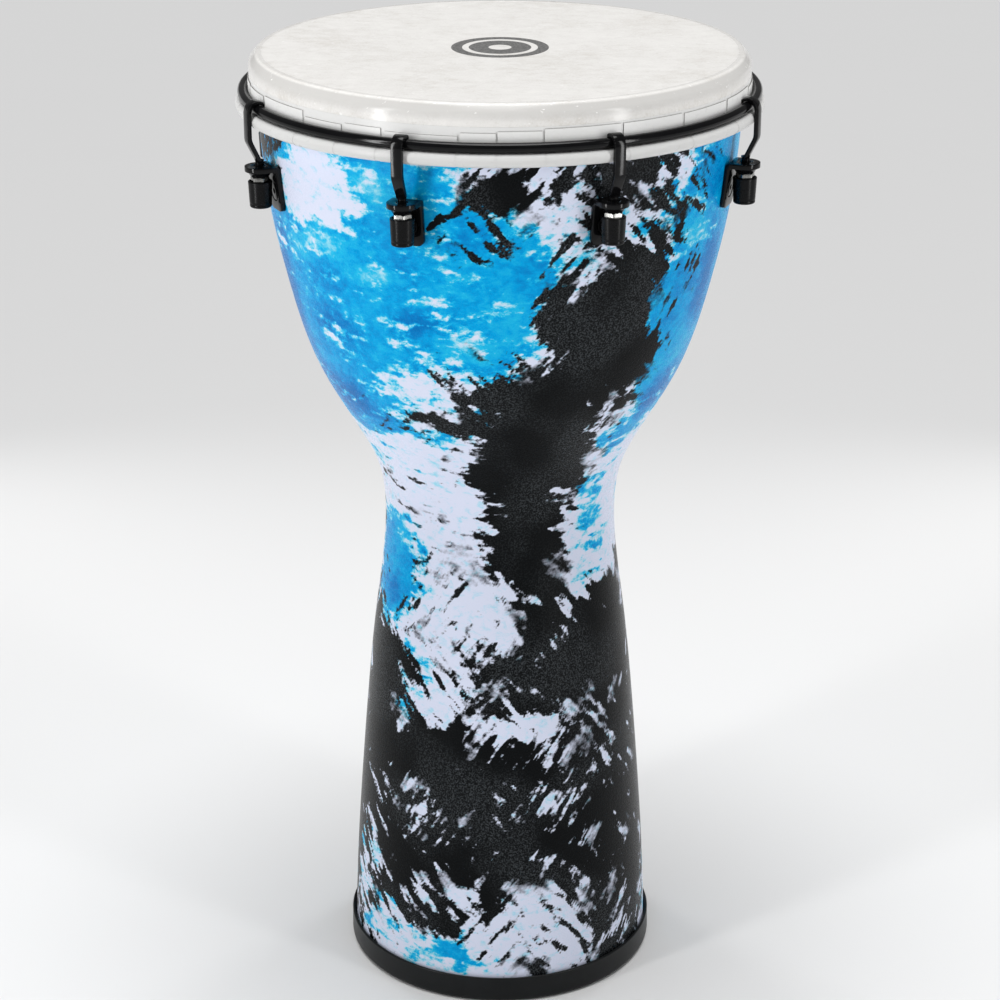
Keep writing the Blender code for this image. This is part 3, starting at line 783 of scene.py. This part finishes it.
def make_lugs(coat, zinc, rubber):
    """Eight of each part of a lug: the copies share one mesh."""
    shapes = {"tuning_hook": (hook_mesh(), "hook", "black_steel", coat),
              "bracket": (bracket_mesh(), "drum", "black_steel", coat),
              "bracket_bolt": (bolt_mesh(), "drum", "black_steel", coat),
              "tuning_nut": (tuning_nut_mesh(), "nut", "zinc_steel", zinc),
              "nut_cap": (nut_cap_mesh(), "nut", "cap_rubber", rubber)}
    for name, (mesh, body, slot, material) in shapes.items():
        mesh.materials.append(material)
        mesh.shade_smooth()
        mesh.set_sharp_from_angle(angle=math.radians(SHARP_DEG))
        for index in range(LUGS):
            number = index + 1
            rider = body if body == "drum" else f"{body}_{number}"
            place = lug_matrix(index)
            add_piece(f"{name}.{number}", mesh, rider, [f"{name}_{number}"], material, place)


# Film strips folded over the hoop: start and end angle and the height of the free upper edge.
STRIPS = (
    (-64, -47.6, 595.6), (-46.8, -36, 592.4), (-35, -26, 593.6), (-25, -9, 592.2), (-8.4, -0.9, 594.2),
    (-0.5, 8.9, 595.2), (9.4, 26.3, 596.3), (27, 42.6, 596.2), (43.4, 59, 595.8), (59.8, 74, 596.0),
    (74.8, 90, 594.6), (90.8, 104, 595.8), (105, 118, 593.6), (119, 136, 596.0), (136.8, 150, 595.0),
    (151, 163, 594.0), (164, 180, 596.2), (181, 193, 595.2), (194, 207, 593.2), (208, 224, 595.8),
    (224.8, 240, 594.6), (241, 256, 596.0), (257, 270, 593.8), (271, 283, 595.6), (284, 295, 594.8),
)


def swept(name, outline, start, end, step=1.5):
    """A closed (radius, height) outline swept round Z between two angles, with both ends capped."""
    count = max(2, int((end - start) / step))
    turns = np.radians(np.linspace(start, end, count + 1))
    size = len(outline)
    verts = [(r * MM * math.sin(t), -r * MM * math.cos(t), z * MM) for t in turns for r, z in outline]
    faces = [tuple(range(size)), tuple(count * size + k for k in reversed(range(size)))]
    for i in range(count):
        for k in range(size):
            a, b = i * size + k, i * size + (k + 1) % size
            faces.append((a, a + size, b + size, b))
    mesh = bpy.data.meshes.new(name)
    mesh.from_pydata(verts, [], faces)
    bm = bmesh.new()
    bm.from_mesh(mesh)
    bpy.data.meshes.remove(mesh)
    return from_bmesh(name, bm)


def make_strips(film):
    """The free upper edge of each film strip, and its fold over the hoop."""
    for index, (start, end, top) in enumerate(STRIPS):
        flap = [(152.75, 585.6), (153.25, 585.6), (153.3, top - 0.2), (153.2, top)]
        flap += [(152.95, top), (152.85, top - 0.2)]
        edge = swept("strip_edge", flap, start, end)
        # painted shadow: marks the strip's free top edge, which the film material darkens into a shadow line
        free = edge.attributes.new("edge_shadow", "FLOAT", "POINT")
        for vert, value in zip(edge.vertices, free.data):
            value.value = 1.0 if vert.co.z > (top - 0.1) * MM else 0.0
        add_piece(f"strip_edge_{index + 1:02d}", edge, "drum", [], film)
        section = arc(HOOP_SECTION, 3.95, -120, 70, 14) + arc(HOOP_SECTION, 3.6, 70, -120, 14)
        fold = swept("strip_fold", section, start, end)
        add_piece(f"strip_fold_{index + 1:02d}", fold, "drum", [], film)


def make_foot(rubber):
    """The rubber foot channel with a rounded bottom edge and a small bead at its top."""
    outline = [(93.2, 0), (97.7, 0)] + arc((97.7, 3.6), 3.6, 275, 360, 8)
    outline += [(101.2, 8), (101.05, 15.6)] + arc((100.1, 16.9), 1.0, 350, 450, 6)
    outline += [(99.5, 17.6), (99.45, 3.5), (93.6, 3.5), (92.2, 3.5), (92.2, 12), (90.4, 12), (90.4, 1)]
    channel = revolve("foot_channel", outline, TURNED_COLUMNS)
    add_piece("foot_channel", channel, "drum", ["foot_ring"], rubber)


def dress_hidden(zinc, steel):
    """Pieces inside the drum keep their CAD shape and get a finish."""
    for name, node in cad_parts.items():
        if name.startswith("bracket_nut") or name == "flesh_hoop":
            for place in node.material_slots:
                place.link = "OBJECT"
                place.material = steel if name == "flesh_hoop" else zinc


# ---------------------------------------------------------------- studio

FLOOR_HALF_SIDE = 60                  # metres: far enough for its edge to lie at the horizon
WORLD_STRENGTH = 0.14
LAMP_LENGTH = 1.1
LAMP_HEIGHT = 0.7
LAMP_SPREAD_DEG = 130
STRIP_LAMPS = (                       # name, azimuth, distance, width and power, in degrees, metres and watts
    ("left_strip", -51, 1.05, 0.11, 3.5), ("right_strip", 51, 1.05, 0.13, 2.4),
    ("rear_left_strip", -142, 1.2, 0.3, 2.9), ("rear_right_strip", 142, 1.2, 0.3, 2.9),
)
CEILING_STRENGTH = 2.5
CEILING_ANGLE_DEG = 40
CAMERA_PLACE = (0, -1.603, 0.951)
CAMERA_DOWN_DEG = 21.66
CAMERA_LENS = 95.87


def make_studio():
    """A pale floor, strip lights round the drum, a wide sun above it and the camera."""
    scene = bpy.context.scene
    floor_material, tree, shader, place = new_material("studio_floor", Roughness=0.9)
    tone = weighted(tree, 0.5, (noise(tree, place, 300, 2), 0.2))
    greys = ((0.0, (0.70, 0.70, 0.70)), (1.0, (0.74, 0.74, 0.74)))
    tree.links.new(ramp(tree, tone, greys), shader.inputs["Base Color"])
    bm = bmesh.new()
    bmesh.ops.create_grid(bm, x_segments=1, y_segments=1, size=FLOOR_HALF_SIDE)
    floor = bpy.data.objects.new("studio_floor", from_bmesh("studio_floor", bm))
    floor.data.materials.append(floor_material)
    scene.collection.objects.link(floor)

    world = bpy.data.worlds.new("studio")
    world.use_nodes = True
    background = world.node_tree.nodes["Background"]
    background.inputs["Color"].default_value = (1.0, 1.0, 1.0, 1.0)
    background.inputs["Strength"].default_value = WORLD_STRENGTH
    scene.world = world
    scene.view_settings.view_transform = "Standard"

    def hang(name, lamp, azimuth, distance, height, pitch=90.0):
        """Put a lamp round the drum, facing its axis when the pitch is 90 and the floor when it is 0."""
        turn = math.radians(azimuth)
        light = bpy.data.objects.new(name, lamp)
        light.location = (math.sin(turn) * distance, -math.cos(turn) * distance, height)
        light.rotation_euler = (math.radians(pitch), 0, turn)
        light.visible_camera = False
        scene.collection.objects.link(light)
        return light

    for name, azimuth, distance, width, power in STRIP_LAMPS:
        lamp = bpy.data.lights.new(name, "AREA")
        lamp.shape = "RECTANGLE"
        lamp.size = width
        lamp.size_y = LAMP_LENGTH
        lamp.energy = power
        lamp.spread = math.radians(LAMP_SPREAD_DEG)
        strip = hang(name, lamp, azimuth, distance, LAMP_HEIGHT)
        strip.visible_glossy = not name.startswith("rear")
    ceiling = bpy.data.lights.new("ceiling", "SUN")
    ceiling.energy = CEILING_STRENGTH
    ceiling.angle = math.radians(CEILING_ANGLE_DEG)
    hang("ceiling", ceiling, 0, 0, 3.0, pitch=0.0)

    camera = bpy.data.objects.new("camera", bpy.data.cameras.new("camera"))
    camera.data.sensor_width = 36
    camera.data.lens = CAMERA_LENS
    camera.location = CAMERA_PLACE
    camera.rotation_euler = (math.radians(90 - CAMERA_DOWN_DEG), 0, 0)
    scene.collection.objects.link(camera)
    scene.camera = camera


SKIN_COLOR = (0.835, 0.82, 0.795)
FILM_COLOR = (0.80, 0.80, 0.79)
BLACK_COLOR = (0.004, 0.004, 0.0045)
FOOT_COLOR = (0.007, 0.008, 0.0085)
ZINC_COLOR = (0.30, 0.30, 0.29)
STEEL_COLOR = (0.5, 0.5, 0.5)


def build():
    """Every material and piece. The low IORs keep the pale floor's reflection off the blacks."""
    print_finish = print_material()
    skin = film_material("head_skin", SKIN_COLOR, 0.75, playing=True)
    film = film_material("head_film", FILM_COLOR, 0.14)
    black_coat = coat_material("black_steel", BLACK_COLOR, 0.13, grain_mm=1.2, grain=0.015, ior=1.29)
    make_shell(print_finish)
    make_head(skin, film)
    make_ring(black_coat)
    zinc = coat_material("zinc_steel", ZINC_COLOR, 0.25, metallic=1.0, grain_mm=0.6, grain=0.02)
    steel = coat_material("hoop_steel", STEEL_COLOR, 0.35, metallic=1.0)
    cap_rubber = coat_material("cap_rubber", BLACK_COLOR, 0.27, grain_mm=0.8, grain=0.01, ior=1.23)
    foot_rubber = coat_material("foot_rubber", FOOT_COLOR, 0.36, grain_mm=1.0, grain=0.04, ior=1.27)
    make_lugs(black_coat, zinc, cap_rubber)
    make_strips(film)
    make_foot(foot_rubber)
    dress_hidden(zinc, steel)
    make_studio()


build()
